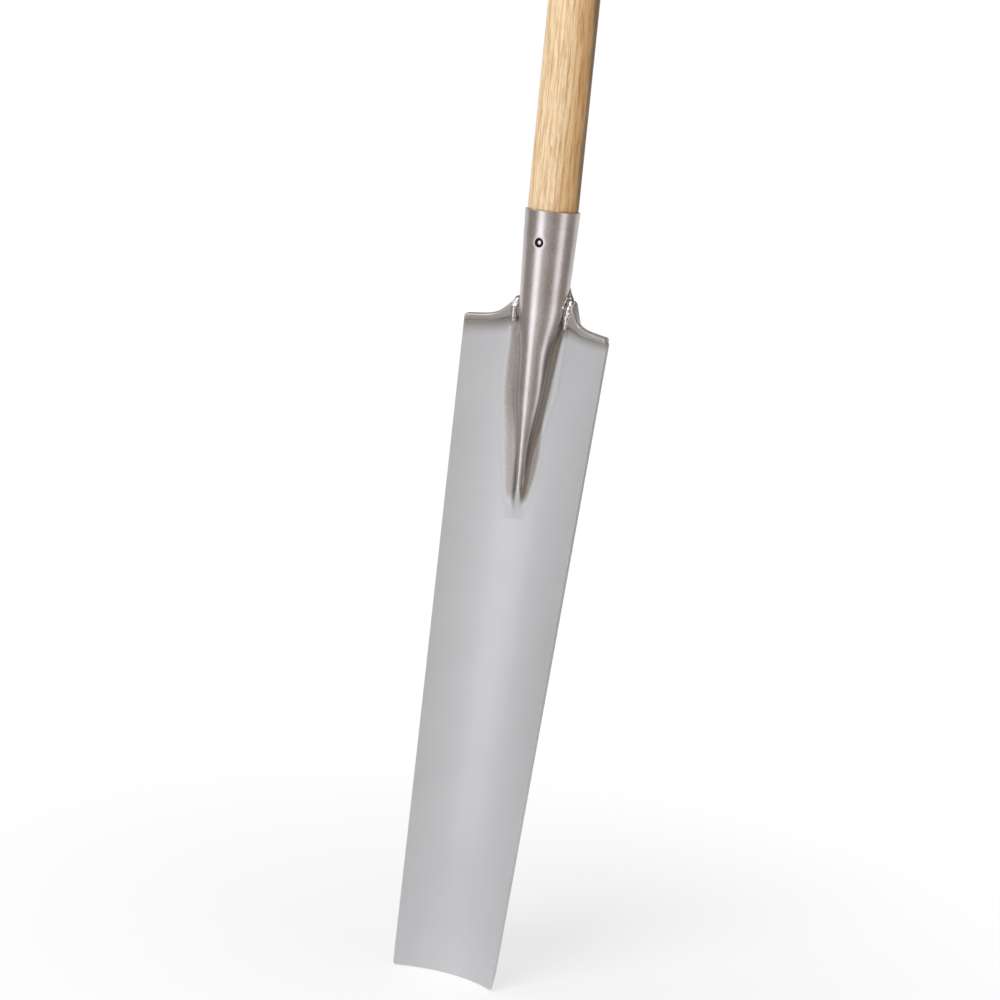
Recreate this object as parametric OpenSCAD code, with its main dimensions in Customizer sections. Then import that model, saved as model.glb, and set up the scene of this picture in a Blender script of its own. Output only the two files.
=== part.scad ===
// Trenching spade: narrow dished blade, tapered socket, round ash shaft and T-grip.
// Millimetres. +Z runs up the shaft, the hollow face of the blade looks along -Y.
// The origin is the middle of the outline's box, at the cutting edge.

/* [Blade] */
// Length of the blade from the treads to the cutting edge
blade_len = 500; // [380:1:560]
// Width of the blade under the treads
blade_top_w = 120; // [105:1:135]
// Width of the blade at the cutting edge
blade_tip_w = 85; // [70:1:100]
// Depth of the hollow across the top of the blade
dish_top = 13.5; // [12:0.5:15]
// Depth of the hollow across the cutting edge
dish_tip = 13.5; // [12:0.5:16]
// Thickness of the blade plate
blade_t = 2.2; // [1.8:0.1:3]
// Forward lean of the blade from the line of the shaft, in degrees
lift = 6; // [5:0.1:7]
// How far the hollow face lies behind the shaft's axis at the treads
blade_set = 3; // [1:0.5:5]
// Thickness left at the ground cutting edge
edge_t = 0.7; // [0.4:0.1:1.2]
// Length of the bevel ground on the back of the cutting edge
bevel_len = 14; // [6:1:25]

/* [Treads] */
// Thickness of the tread strips
tread_t = 5; // [3:0.5:6]
// Length over both treads
tread_span = 114; // [104:1:118]
// How far the treads stand out in front of the hollow face
tread_lip = 4; // [3:0.5:6]
// How far the treads stand out behind the hollow face
tread_back = 6; // [4:0.5:9]
// Height of the treads' outer ends over the blade's reference line
tread_up = 1; // [0:0.5:2]
// Fall of the treads towards their outer ends, in degrees
tread_fall = 6.8; // [3:0.2:9]
// Height of the upturned inner ends above the treads
tread_rise = 16.5; // [12:0.5:18]
// Radius of the curve that turns the inner ends up
tread_curve_r = 14.5; // [13:0.5:18]
// Width of the upturned ends at their top, measured from the socket
tread_root = 7; // [5:0.5:9]

/* [Socket] */
// Height of the socket's rim above the outer ends of the treads
rim_h = 88; // [70:1:110]
// Thickness of the socket wall
socket_wall = 1.4; // [1.2:0.1:2]
// Narrowing of the socket's radius for each millimetre downwards
socket_taper = 0.035; // [0.03:0.001:0.04]
// Distance down the blade at which the socket's ridge runs out
ridge_len = 142; // [125:1:146]
// Radius of the ridge's rounded lower end
nose_r = 8; // [6:0.5:9]
// Height of the bend at the back, where the socket turns in to the blade
heel_h = -14; // [-30:1:-8]
// Height above the treads' outer ends at which the socket's hollow ends
hollow_end = -92; // [-105:1:-80]

/* [Shaft] */
// Diameter of the ash shaft
shaft_d = 38; // [34:0.5:42]
// Length of bare shaft between the socket's rim and the grip
shaft_len = 640; // [450:5:900]
// Length of shaft inside the socket
insert_len = 150; // [120:1:165]
// Diameter of the shaft where it meets the grip
neck_d = 30; // [28:0.5:31]
// Length over which the shaft narrows to that neck
neck_len = 70; // [40:5:120]
// Gap between the shaft and the socket wall
shaft_gap = 0.15; // [0.05:0.05:0.3]

/* [Nail] */
// Distance of the nail below the socket's rim
nail_drop = 23.5; // [15:0.5:40]
// Diameter of the hole in the socket wall
nail_hole_d = 6.6; // [6:0.1:8]
// Diameter of the nail's head
nail_head_d = 5.2; // [4:0.1:5.6]
// Diameter of the nail's shank
nail_d = 3.6; // [2.5:0.1:3.8]
// Length of the nail's shank
nail_len = 24; // [15:1:30]
// Depth of the seat cut in the wood for the nail's head
nail_sunk = 0.8; // [0.6:0.1:1.5]
// How far the nail's crown stays below the socket's surface
nail_below = 0.3; // [0:0.1:0.6]

/* [Grip] */
// Length of the crossbar
grip_len = 140; // [120:1:180]
// Diameter of the crossbar's arms
grip_d = 32; // [26:0.5:36]
// Diameter of the crossbar's hub
hub_d = 46; // [44:0.5:50]
// Width of the hub along the crossbar
hub_w = 34; // [32:1:40]
// Length of the slope between hub and arm
hub_slope = 18; // [10:1:24]
// Radius at the ends of the arms
grip_end_r = 7; // [3:0.5:10]
// Height of the flat seat below the crossbar's axis
seat_drop = 17; // [16:0.5:17]
// Height of the flat on top of the hub above the crossbar's axis
hub_flat = 19; // [17:0.5:19]
// Diameter of the shaft's tenon in the hub
tenon_d = 24; // [20:0.5:24]
// Thickness of the wedge at its top
wedge_t = 3; // [2:0.5:5]
// Depth of the wedge in the tenon
wedge_len = 18; // [10:1:18]
// Diameter of the dowel through hub and tenon
dowel_d = 6; // [4:0.5:7]
// Height of the dowel below the crossbar's axis
dowel_drop = 8; // [7:0.5:10]

/* [Joints] */
// Gap left at welded seams and around joined wooden pieces
fit_gap = 0.1; // [0.05:0.05:0.2]
// Leg of the weld fillets beside the socket's ridge
fillet_leg = 4; // [2:0.5:5]
// Radius of the weld beads at the treads' inner ends
bead_r = 3; // [2.5:0.1:3.5]
// Number of ripples in each tread weld bead
bead_count = 6; // [5:1:8]

/* [Hidden] */
$fn = 64;

steel = [0.74, 0.74, 0.75];
bright_steel = [0.82, 0.82, 0.83];
ash = [0.86, 0.74, 0.56];
dark_wood = [0.55, 0.36, 0.2];
reach = 400;      // size of the blocks that trim other shapes
lap = 1;          // how far a cutting shape runs past what it cuts
turn_dip = 0.1;   // how far the treads' curve would dip into the strip, so that it meets it at an edge
bead_end = 0.6;   // share of a bead's leg at its lower end
fillet_steps = 36;
curve_steps = 5;

// The hollow face is a cone. Its side along the blade's middle is a straight line.
function arc_radius(w, d) = (w * w / 4 + d * d) / (2 * d);
top_arc = arc_radius(blade_top_w, dish_top);
tip_arc = arc_radius(blade_tip_w, dish_tip);
cone_angle = atan((top_arc - tip_arc) / blade_len);
apex_s = top_arc / tan(cone_angle);

// How far the hollow face comes forward at x, a distance s down the blade
function dish(s, x) =
    let (k = 1 - pow(tan(cone_angle), 2), rho = (apex_s - s) * tan(cone_angle))
    (rho - sqrt(rho * rho - k * x * x)) / k;

// Socket and shaft radii at a height z over the treads' outer ends
rim_r = shaft_d / 2 + shaft_gap + socket_wall;
function socket_r(z) = rim_r - socket_taper * (rim_h - z);

// The hollow face's y at height z and sideways distance x
function face_y(z, x) =
    let (s = (dish(-z / cos(lift), x) * sin(lift) - z) / cos(lift))
    blade_set - dish(s, x) * cos(lift) - s * sin(lift);

// The back of the socket is pressed to a slope from the heel to the foot of the ridge
foot_z = -ridge_len * cos(lift);
heel_y = socket_r(heel_h);
foot_y = face_y(foot_z, 0) + blade_t / cos(lift);
back_angle = atan((heel_y - foot_y) / (heel_h - foot_z));

// Where the whole tool sits: box centred on the origin, cutting edge at z = 0
front_reach = -(blade_set - blade_len * sin(lift) - dish(blade_len, blade_tip_w / 2) * cos(lift));
back_reach = max(rim_r, hub_d / 2);
axis_y = (front_reach - back_reach) / 2;
tip_z = blade_len * cos(lift) + edge_t * sin(lift);
seat_z = rim_h + shaft_len;
grip_z = seat_z + seat_drop;
nail_z = rim_h - nail_drop;
wood_r = rim_r - socket_wall - shaft_gap;
function shaft_r(z) = wood_r - socket_taper * (rim_h - z);

module placed() { translate([0, axis_y, tip_z]) children(); }

// Blade coordinates: z runs up the blade from the treads' outer ends, y away from the hollow face
module on_blade() { translate([0, blade_set, 0]) rotate([-lift, 0, 0]) children(); }

// A solid of revolution about the dish's own axis. Points are [s, n]: down the blade, behind the face
module dished(points) {
    translate([0, 0, -apex_s]) rotate([cone_angle, 0, 0])
        rotate_extrude($fn = 180) polygon([for (p = points)
            [(apex_s - p[0]) * sin(cone_angle) + p[1] * cos(cone_angle),
             (apex_s - p[0]) * cos(cone_angle) - p[1] * sin(cone_angle)]]);
}

// A flat outline seen from the front, run through the thickness of the blade
module through_blade() {
    translate([0, reach / 4, 0]) rotate([90, 0, 0]) linear_extrude(reach / 2) children();
}

// The half of space in front of the socket's sloping back, moved back by grow
module before_back(grow) {
    translate([0, heel_y + grow, heel_h]) rotate([-back_angle, 0, 0])
        translate([-reach / 2, -reach, -reach]) cube([reach, reach, 2 * reach]);
}

// Outer form of the socket, enlarged by grow
module socket_form(grow) {
    low = foot_z - grow;
    intersection() {
        translate([0, 0, low]) cylinder(h = rim_h - low, r1 = socket_r(low) + grow, r2 = rim_r + grow);
        union() {
            before_back(grow);
            translate([-reach / 2, -reach / 2, heel_h]) cube([reach, reach, reach]);
        }
        translate([0, 0, foot_z + nose_r]) union() {
            rotate([90, 0, 0]) cylinder(h = reach, r = nose_r + grow, center = true);
            translate([-reach / 2, -reach / 2, 0]) cube([reach, reach, reach]);
        }
    }
}

// Inner form of the socket, reduced by gap. It holds the end of the shaft
module hollow_form(gap, low) {
    inset = socket_wall + gap;
    intersection() {
        translate([0, 0, low])
            cylinder(h = rim_h - low, r1 = socket_r(low) - inset, r2 = rim_r - inset);
        union() {
            before_back(-inset);
            translate([-reach / 2, -reach / 2, heel_h + inset * tan(back_angle / 2)])
                cube([reach, reach, reach]);
        }
    }
}

// Underside of the treads, where the blade ends
function tread_line(x) = (blade_top_w / 2 - abs(x)) * tan(tread_fall) + tread_up - tread_t;

module blade_outline() {
    half_top = blade_top_w / 2;
    half_tip = blade_tip_w / 2;
    shoulder = tread_line(half_top);
    polygon([[-half_tip, -blade_len], [half_tip, -blade_len], [half_top, shoulder],
             [0, tread_line(0)], [-half_top, shoulder]]);
}

module blade() {
    color(steel) placed() difference() {
        on_blade() intersection() {
            dished([[blade_len + lap, 0], [-reach / 8, 0], [-reach / 8, blade_t],
                    [blade_len - bevel_len, blade_t], [blade_len, edge_t], [blade_len + lap, edge_t]]);
            through_blade() blade_outline();
        }
        socket_form(fit_gap);
    }
}

module socket() {
    color(steel) placed() difference() {
        socket_form(0);
        hollow_form(0, hollow_end);
        translate([0, 0, rim_h]) cylinder(h = lap, r = rim_r + lap);
        translate([0, 0, rim_h - lap / 2]) cylinder(h = lap, r = wood_r + shaft_gap);
        translate([0, 0, nail_z]) rotate([90, 0, 0]) cylinder(h = reach, d = nail_hole_d);
    }
}

// Outline of the right-hand tread, with its inner end turned up beside the socket
module tread_outline() {
    half = tread_span / 2;
    base = [0, tread_line(0)];
    end = [half, tread_line(half)];
    peak_x = socket_r(tread_rise) + tread_root;
    run = sqrt(tread_curve_r * tread_curve_r - pow(tread_curve_r - tread_rise, 2));
    turn_x = peak_x + run;
    turn_y = tread_line(turn_x) + tread_t;
    peak_y = turn_y + tread_rise;
    centre_up = tread_curve_r - turn_dip;
    polygon([base, end, end + [0, tread_t], base + [0, tread_t]]);
    difference() {
        polygon([[0, turn_y], [turn_x, turn_y - tread_t / 2], [turn_x, peak_y], [0, peak_y]]);
        translate([turn_x + centre_up * sin(tread_fall), turn_y + centre_up * cos(tread_fall)])
            circle(r = tread_curve_r);
    }
}

module tread(side) {
    difference() {
        on_blade() intersection() {
            dished([[reach / 4, -tread_lip], [-reach / 8, -tread_lip],
                    [-reach / 8, tread_back], [reach / 4, tread_back]]);
            through_blade() mirror([side < 0 ? 1 : 0, 0]) tread_outline();
        }
        socket_form(fit_gap);
    }
}

module left_tread() { color(steel) placed() tread(-1); }
module right_tread() { color(steel) placed() tread(1); }

// A rippled bead in the corner between the front of a tread's inner end and the socket
module tread_weld(side) {
    low = tread_line(0);
    high = low + tread_t + tread_rise - bead_r;
    front = blade_set - tread_lip;
    difference() {
        for (i = [0 : bead_count - 1]) {
            z = low + (high - low) * i / (bead_count - 1);
            y = front + z * tan(lift);
            x = sqrt(pow(socket_r(z), 2) - y * y);
            translate([side * x, y, z]) sphere(r = bead_r);
        }
        socket_form(0);
        tread(side);
        on_blade() translate([0, reach / 2 - tread_lip, 0]) cube(reach, center = true);
    }
}

module left_tread_weld() { color(bright_steel) placed() tread_weld(-1); }
module right_tread_weld() { color(bright_steel) placed() tread_weld(1); }

// The fillets stay a seam clear of the ridge, also where a straight side spans its curve
seam = fit_gap;
function fillet_r(z, leg) = (socket_r(z) + seam) / cos(leg / socket_r(z) * 90 / PI);

// Half-width of the ridge where it leaves the hollow face at height z
function ridge_half(z, r, x, turns) =
    turns == 0 ? x : ridge_half(z, r, sqrt(max(0, r * r - pow(face_y(z, x) - seam, 2))), turns - 1);

// One section of the fillet: root, then a hollow curve from the ridge to the blade
function fillet_section(z, leg) =
    let (r = fillet_r(z, leg),
         x = ridge_half(z, r, r / 2, 12),
         root = [x, face_y(z, x) - seam],
         a = max(0, atan2(root[0], -root[1]) - leg / r * 180 / PI),
         ridge = r * [sin(a), -cos(a)],
         toe = [x + leg, face_y(z, x + leg) - seam])
    [for (p = concat([root], [for (i = [0 : curve_steps])
        let (t = i / curve_steps) (1 - t) * (1 - t) * ridge + 2 * t * (1 - t) * root + t * t * toe]))
        [p[0], p[1], z]];

module ridge_weld() {
    top = tread_line(socket_r(0) + fillet_leg) * cos(lift) - fit_gap;
    bottom = foot_z + nose_r;
    rings = [for (i = [0 : fillet_steps])
        let (t = i / fillet_steps, z = top + (bottom - top) * t)
        fillet_section(z, fillet_leg * (1 - (1 - bead_end) * t))];
    count = curve_steps + 2;
    last = fillet_steps * count;
    sides = [for (i = [0 : fillet_steps - 1], j = [0 : count - 1])
        let (a = i * count + j, b = i * count + (j + 1) % count)
        each [[a, b, a + count], [b, b + count, a + count]]];
    caps = [for (j = [1 : count - 2]) each [[0, j + 1, j], [last, last + j, last + j + 1]]];
    polyhedron([for (r = rings) each r], concat(sides, caps), convexity = 6);
}

module left_ridge_weld() { color(bright_steel) placed() mirror([1, 0, 0]) ridge_weld(); }
module right_ridge_weld() { color(bright_steel) placed() ridge_weld(); }

module handle_shaft() {
    low = rim_h - insert_len;
    neck_z = seat_z - neck_len;
    color(ash) placed() difference() {
        union() {
            hollow_form(shaft_gap, low);
            translate([0, 0, rim_h]) cylinder(h = neck_z - rim_h, r = wood_r);
            translate([0, 0, neck_z]) cylinder(h = neck_len, r1 = wood_r, d2 = neck_d);
            translate([0, 0, seat_z]) cylinder(h = seat_drop + hub_flat, d = tenon_d);
        }
        nail_bore(nail_d + fit_gap, nail_head_d + fit_gap);
        translate([0, 0, grip_z]) wedge_form(fit_gap);
        translate([0, 0, grip_z - dowel_drop]) rotate([90, 0, 0])
            cylinder(h = reach, d = dowel_d + fit_gap, center = true);
    }
}

// The nail's head sits in a shallow seat cut in the wood
nail_seat = -shaft_r(nail_z) + nail_sunk;
nail_crown = socket_r(nail_z) - nail_below;

module nail_bore(shank, head) {
    translate([0, nail_seat, nail_z]) rotate([90, 0, 0]) cylinder(h = reach, d = head);
    translate([0, nail_seat + nail_len + fit_gap, nail_z]) rotate([90, 0, 0])
        cylinder(h = nail_len + lap, d = shank);
}

module socket_nail() {
    head_h = nail_crown + nail_seat;
    dome_r = (nail_head_d * nail_head_d / 4 + head_h * head_h / 4) / head_h;
    color(bright_steel) placed() translate([0, nail_seat, nail_z]) rotate([90, 0, 0]) {
        translate([0, 0, -nail_len]) cylinder(h = nail_len + head_h / 4, d = nail_d);
        intersection() {
            cylinder(h = head_h, d = nail_head_d);
            translate([0, 0, head_h - dome_r]) sphere(r = dome_r);
        }
    }
}

// Turned form of the crossbar: arms with rounded ends, sloping up to a thicker hub
module crossbar_profile() {
    half = grip_len / 2;
    arm = grip_d / 2;
    hub = hub_d / 2;
    polygon([[0, 0], [hub, 0], [hub, hub_w / 2], [arm, hub_w / 2 + hub_slope],
             [arm, half - grip_end_r], [arm - grip_end_r, half - grip_end_r],
             [arm - grip_end_r, half], [0, half]]);
    intersection() {
        translate([arm - grip_end_r, half - grip_end_r]) circle(r = grip_end_r);
        translate([arm - grip_end_r, half - grip_end_r]) square(grip_end_r);
    }
}

module crossbar() {
    for (turn = [90, -90]) rotate([0, turn, 0]) rotate_extrude() crossbar_profile();
}

module t_grip() {
    color(ash) placed() translate([0, 0, grip_z]) difference() {
        crossbar();
        translate([0, 0, -seat_drop - reach / 2]) cube([hub_w + hub_slope, reach, reach], center = true);
        translate([0, 0, hub_flat + reach / 2]) cube([hub_w + hub_slope, reach, reach], center = true);
        cylinder(h = reach, d = tenon_d + 2 * fit_gap, center = true);
        translate([0, 0, -dowel_drop]) rotate([90, 0, 0])
            cylinder(h = reach, d = dowel_d + fit_gap, center = true);
    }
}

// The wedge lies across the crossbar, thin end down
module wedge_form(grow) {
    low = hub_flat - wedge_len - grow;
    half = wedge_t / 2 + grow;
    tip = wedge_t / 6 + grow;
    rotate([90, 0, 0]) linear_extrude(tenon_d + 2 * lap, center = true)
        polygon([[-tip, low], [tip, low], [half, hub_flat + grow], [-half, hub_flat + grow]]);
}

module grip_wedge() {
    color(dark_wood) placed() translate([0, 0, grip_z]) intersection() {
        wedge_form(0);
        cylinder(h = hub_flat, d = tenon_d);
    }
}

module grip_dowel() {
    span = 2 * sqrt(hub_d * hub_d / 4 - pow(dowel_drop + dowel_d / 2, 2));
    color(dark_wood) placed() translate([0, 0, grip_z - dowel_drop]) rotate([90, 0, 0])
        cylinder(h = span, d = dowel_d, center = true);
}

blade();
socket();
left_tread();
right_tread();
left_tread_weld();
right_tread_weld();
left_ridge_weld();
right_ridge_weld();
handle_shaft();
socket_nail();
t_grip();
grip_wedge();
grip_dowel();
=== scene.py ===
import math
import bpy
import bmesh
from mathutils import Matrix, Vector, noise


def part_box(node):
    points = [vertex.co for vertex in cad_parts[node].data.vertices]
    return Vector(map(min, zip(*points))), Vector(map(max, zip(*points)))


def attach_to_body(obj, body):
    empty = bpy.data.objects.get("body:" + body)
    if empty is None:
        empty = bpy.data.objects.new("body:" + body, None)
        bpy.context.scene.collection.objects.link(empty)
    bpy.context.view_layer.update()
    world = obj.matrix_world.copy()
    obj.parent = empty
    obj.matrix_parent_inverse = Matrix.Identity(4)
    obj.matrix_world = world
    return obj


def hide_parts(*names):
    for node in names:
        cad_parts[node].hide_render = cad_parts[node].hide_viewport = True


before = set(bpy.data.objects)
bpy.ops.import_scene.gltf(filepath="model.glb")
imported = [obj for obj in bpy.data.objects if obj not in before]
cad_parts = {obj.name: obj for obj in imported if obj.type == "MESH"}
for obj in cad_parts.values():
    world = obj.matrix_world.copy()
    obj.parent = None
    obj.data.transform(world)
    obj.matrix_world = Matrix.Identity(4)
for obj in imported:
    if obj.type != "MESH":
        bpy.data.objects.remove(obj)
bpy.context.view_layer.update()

mm = 0.001

# the spade's own places: shaft axis and tread level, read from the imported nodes
spade = dict(rimAboveTreads=88.0, shaftDiameter=38.0)
shaftLow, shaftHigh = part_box("handle_shaft")
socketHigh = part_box("socket")[1]
axisY = (shaftLow[1] + shaftHigh[1]) / 2
treadZ = socketHigh[2] - spade["rimAboveTreads"] * mm


def place(x, y, z):
    return Vector((x * mm, axisY + y * mm, treadZ + z * mm))    # millimetres from shaft axis and treads


# helpers: numbers, colours, nodes and meshes

def mix(a, b, t):
    return a + (b - a) * t


def ease(t):
    t = min(1.0, max(0.0, t))
    return t * t * (3 - 2 * t)


def softMin(a, b, width):
    h = max(0.0, min(1.0, 0.5 + 0.5 * (b - a) / width))
    return mix(b, a, h) - width * h * (1 - h)


def cornerCut(radius, inside):
    # how far a rounded corner stands back, this far in from its end
    short = max(0.0, radius - inside)
    return radius - math.sqrt(radius ** 2 - short ** 2)


def profileAt(profile, x):
    for (x0, z0), (x1, z1) in zip(profile, profile[1:]):
        if x <= x1:
            break
    return mix(z0, z1, (x - x0) / (x1 - x0))


def halve(low, high, inside):
    for step in range(40):
        middle = (low + high) / 2
        if inside(middle):
            low = middle
        else:
            high = middle
    return low, high


def turnsOf(count):
    return [2 * math.pi * j / count for j in range(count)]


def linear(hexCode):
    channels = [int(hexCode[i:i + 2], 16) / 255 for i in (0, 2, 4)]
    return [c / 12.92 if c <= 0.04045 else ((c + 0.055) / 1.055) ** 2.4 for c in channels] + [1.0]


def plug(tree, node, links, values):
    for name, value in values.items():
        node.inputs[name].default_value = value
    for name, socket in links.items():
        tree.links.new(socket, node.inputs[name])


def addNode(tree, kind, links=None, values=None, **settings):
    made = tree.nodes.new("ShaderNode" + kind)
    for name, value in settings.items():
        setattr(made, name, value)
    plug(tree, made, links or {}, values or {})
    return made


def setStops(ramp, stops):
    elements = ramp.color_ramp.elements
    while len(elements) < len(stops):
        elements.new(0.5)
    for element, (position, colour) in zip(elements, stops):
        element.position = position
        element.color = linear(colour)
    return ramp


def newMaterial(name):
    made = bpy.data.materials.new(name)
    made.use_nodes = True
    return made, made.node_tree, made.node_tree.nodes["Principled BSDF"]


def newObject(name, points, faces, material=None):
    mesh = bpy.data.meshes.new(name)
    mesh.from_pydata([tuple(p) for p in points], [], faces)
    if material:
        mesh.materials.append(material)
    made = bpy.data.objects.new(name, mesh)
    bpy.context.scene.collection.objects.link(made)
    return made


def finishMesh(body, mesh, sharpAngle):
    limit = math.radians(sharpAngle)
    for face in body.faces:
        face.smooth = True
    for edge in body.edges:
        edge.smooth = not (len(edge.link_faces) == 2 and edge.calc_face_angle() > limit)
    body.to_mesh(mesh)
    body.free()


def newPiece(name, points, faces, material, sharpAngle=35.0):
    piece = newObject(name, points, faces, material)
    body = bmesh.new()
    body.from_mesh(piece.data)
    bmesh.ops.recalc_face_normals(body, faces=body.faces)
    finishMesh(body, piece.data, sharpAngle)
    return piece


def bridge(ring, other):
    count = len(ring)
    return [(ring[k], ring[(k + 1) % count], other[(k + 1) % count], other[k]) for k in range(count)]


def loft(rings):
    points = [p for ring in rings for p in ring]
    count = len(rings[0])
    rows = [range(i * count, (i + 1) * count) for i in range(len(rings))]
    faces = [face for low, high in zip(rows, rows[1:]) for face in bridge(low, high)]
    faces += [tuple(rows[0])[::-1], tuple(rows[-1])]
    return points, faces


def cutAway(piece, cutter, sharpAngle):
    cut = piece.modifiers.new("cut", "BOOLEAN")
    cut.object = cutter
    cut.operation = "DIFFERENCE"
    cut.solver = "EXACT"
    bpy.context.view_layer.update()
    result = bpy.data.meshes.new_from_object(piece.evaluated_get(bpy.context.evaluated_depsgraph_get()))
    piece.modifiers.remove(cut)
    old = piece.data
    piece.data = result
    result.name = old.name
    bpy.data.meshes.remove(old)
    bpy.data.objects.remove(cutter)
    body = bmesh.new()
    body.from_mesh(result)
    finishMesh(body, result, sharpAngle)


def paint(piece, name, values):
    layer = piece.data.attributes.new(name, "FLOAT", "POINT")
    layer.data.foreach_set("value", values)


def attach(piece, slot, *nodes):
    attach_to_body(piece, "root")
    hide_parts(*nodes)


# blade: the hollow face is part of a cone, as in the CAD

bladeShape = dict(
    length=500.0, topWidth=118.6, tipWidth=83.6, dishTop=13.5, dishTip=13.5, lift=6.0, setBack=3.0,
    thickness=2.2, edgeThickness=0.7, bevelLength=14.0, edgeRound=0.35,
    cornerRadius=2.0, topRoundLeft=0.0, topRoundRight=3.5,
    treadFall=6.8, treadUp=1.0, treadThickness=5.0, topLap=1.6, notchBelow=10.0, slotHalf=3.0, slotGap=0.8,
)
lift = math.radians(bladeShape["lift"])
treadSlope = math.tan(math.radians(bladeShape["treadFall"]))


def arcRadius(width, depth):
    return (width * width / 4 + depth * depth) / (2 * depth)


topArc = arcRadius(bladeShape["topWidth"], bladeShape["dishTop"])
tipArc = arcRadius(bladeShape["tipWidth"], bladeShape["dishTip"])
coneSlope = (topArc - tipArc) / bladeShape["length"]
apexDown = topArc / coneSlope


def dish(down, x):
    squeeze = 1 - coneSlope ** 2
    radius = (apexDown - down) * coneSlope
    return (radius - math.sqrt(radius * radius - squeeze * x * x)) / squeeze


def onBlade(x, behind, up):
    y = bladeShape["setBack"] + behind * math.cos(lift) + up * math.sin(lift)
    return Vector((x, y, -behind * math.sin(lift) + up * math.cos(lift)))


def faceY(z, x):
    down = (dish(-z / math.cos(lift), x) * math.sin(lift) - z) / math.cos(lift)
    return bladeShape["setBack"] - dish(down, x) * math.cos(lift) - down * math.sin(lift)


def treadLine(x):
    edge = (bladeShape["topWidth"] / 2 - abs(x)) * treadSlope
    return edge + bladeShape["treadUp"] - bladeShape["treadThickness"]


# socket: a tapered tube whose front runs down the face as a ridge

socketShape = dict(
    rim=spade["rimAboveTreads"], rimRound=0.35, wall=1.4, gap=0.15, taper=0.035,
    ridgeLength=142.0, innerEnd=-10.0,
    heel=-14.0, heelReach=20.0, heelBlend=5.0, noseStart=124.0, noseSink=3.2, noseRun=22.0,
    keelFrom=16.0, keelRun=44.0, crestTop=11.5, crestTip=4.4, crestFrom=-40.0, crestRun=60.0, flankAngle=72.0,
    holeDiameter=6.6, holeLip=0.35, nailDrop=23.5, dimpleRadius=6.5, dimpleDepth=0.5,
)
rimRadius = spade["shaftDiameter"] / 2 + socketShape["gap"] + socketShape["wall"]
nailZ = socketShape["rim"] - socketShape["nailDrop"]
widestTurn = math.pi * 0.9    # the face meets the tube before this far round
flankReach = 1.4    # radians to each side over which a flank can be straight


def socketRadius(z):
    down = -z / math.cos(lift)
    sink = max(0.0, (down - socketShape["noseStart"]) / socketShape["noseRun"]) ** 2 * socketShape["noseSink"]
    return rimRadius - socketShape["taper"] * (socketShape["rim"] - z) - sink


def keelRadius(z, turn):
    # lower down, the round tube is drawn to a tighter crest with straight steep sides
    shape = socketShape
    radius = socketRadius(z)
    share = ease((shape["keelFrom"] - z) / shape["keelRun"])
    narrow = mix(shape["crestTop"], shape["crestTip"], ease((shape["crestFrom"] - z) / shape["crestRun"]))
    crest = min(radius, mix(radius, narrow, share))
    back = radius - crest
    lean = math.radians(mix(90.0, shape["flankAngle"], share))
    turn = abs(math.remainder(turn, 2 * math.pi))
    if turn < math.atan2(crest * math.sin(lean), back + crest * math.cos(lean)):
        return back * math.cos(turn) + math.sqrt(crest ** 2 - (back * math.sin(turn)) ** 2)
    if abs(turn - lean) > flankReach:
        return radius
    return min(radius, (back * math.cos(lean) + crest) / math.cos(turn - lean))


def meetTurn(z, height):
    # how far round its axis the tube still stands this high above the face
    def stands(turn):
        far = keelRadius(z, turn)
        return (faceY(z, far * math.sin(turn)) + far * math.cos(turn)) * math.cos(lift) > height
    return halve(0.0, widestTurn, stands)[0]


def ridgeHalf(z):
    turn = meetTurn(z, 0.0)
    return keelRadius(z, turn) * math.sin(turn)


# treads: bars astride the blade's top edge, their inner ends bent up beside the socket by hand
treadShape = dict(
    lip=4.0, back=6.0, frontRound=3.6, lipRound=1.2, backRound=1.6, endRound=3.0, inner=21.0, innerRound=1.4,
    filletDepth=8.0, filletEnd=1.2, filletRun=9.0, tuck=3.6, tuckFrom=38.0, tuckRun=15.0,
    bendRun=2.2, topBlend=3.5,
    left=dict(
        outer=58.5, lift=1.2, thickness=5.7,
        front=((0, 20.4), (20.5, 20.2), (22.5, 19.5), (26.1, 16.3), (30.1, 12.1), (34.1, 8.4), (38.1, 5.6),
               (44.0, 2.6), (70.0, -8.0)),
        rear=((0, 19.6), (20.5, 19.4), (24.0, 17.0), (28.0, 12.6), (32.0, 8.6), (36.0, 5.6), (42.0, 2.6),
              (70.0, -8.0)),
    ),
    right=dict(
        outer=58.4, lift=-1.1, thickness=5.0,
        front=((0, 20.8), (20.5, 20.6), (23.0, 19.6), (25.2, 16.4), (27.6, 11.6), (30.6, 7.4), (34.5, 4.6),
               (40.0, 1.8), (70.0, -8.0)),
        rear=((0, 25.0), (20.0, 24.8), (23.4, 22.4), (25.8, 19.2), (26.4, 15.1), (27.0, 9.6), (28.8, 7.2),
              (31.4, 5.0), (37.0, 1.6), (70.0, -8.0)),
    ),
)


def tuck(x):
    # the underside curls up at the socket
    return treadShape["tuck"] * ease((treadShape["tuckFrom"] - x) / treadShape["tuckRun"])


shaftShape = dict(
    inside=70.0, length=640.0, neckDiameter=30.0, neckLength=70.0, tenonDiameter=24.0, rimGap=0.45,
)
gripShape = dict(
    length=140.0, diameter=32.0, hubDiameter=46.0, hubWidth=34.0, hubSlope=18.0, endRadius=7.0,
    flat=19.0, seat=17.0, bore=24.2, dowelDiameter=6.0, dowelDrop=8.0, wedgeThickness=3.0,
    wedgeLength=18.0, proud=0.2,
)
gripZ = socketShape["rim"] + shaftShape["length"] + gripShape["seat"]

# materials

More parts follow.
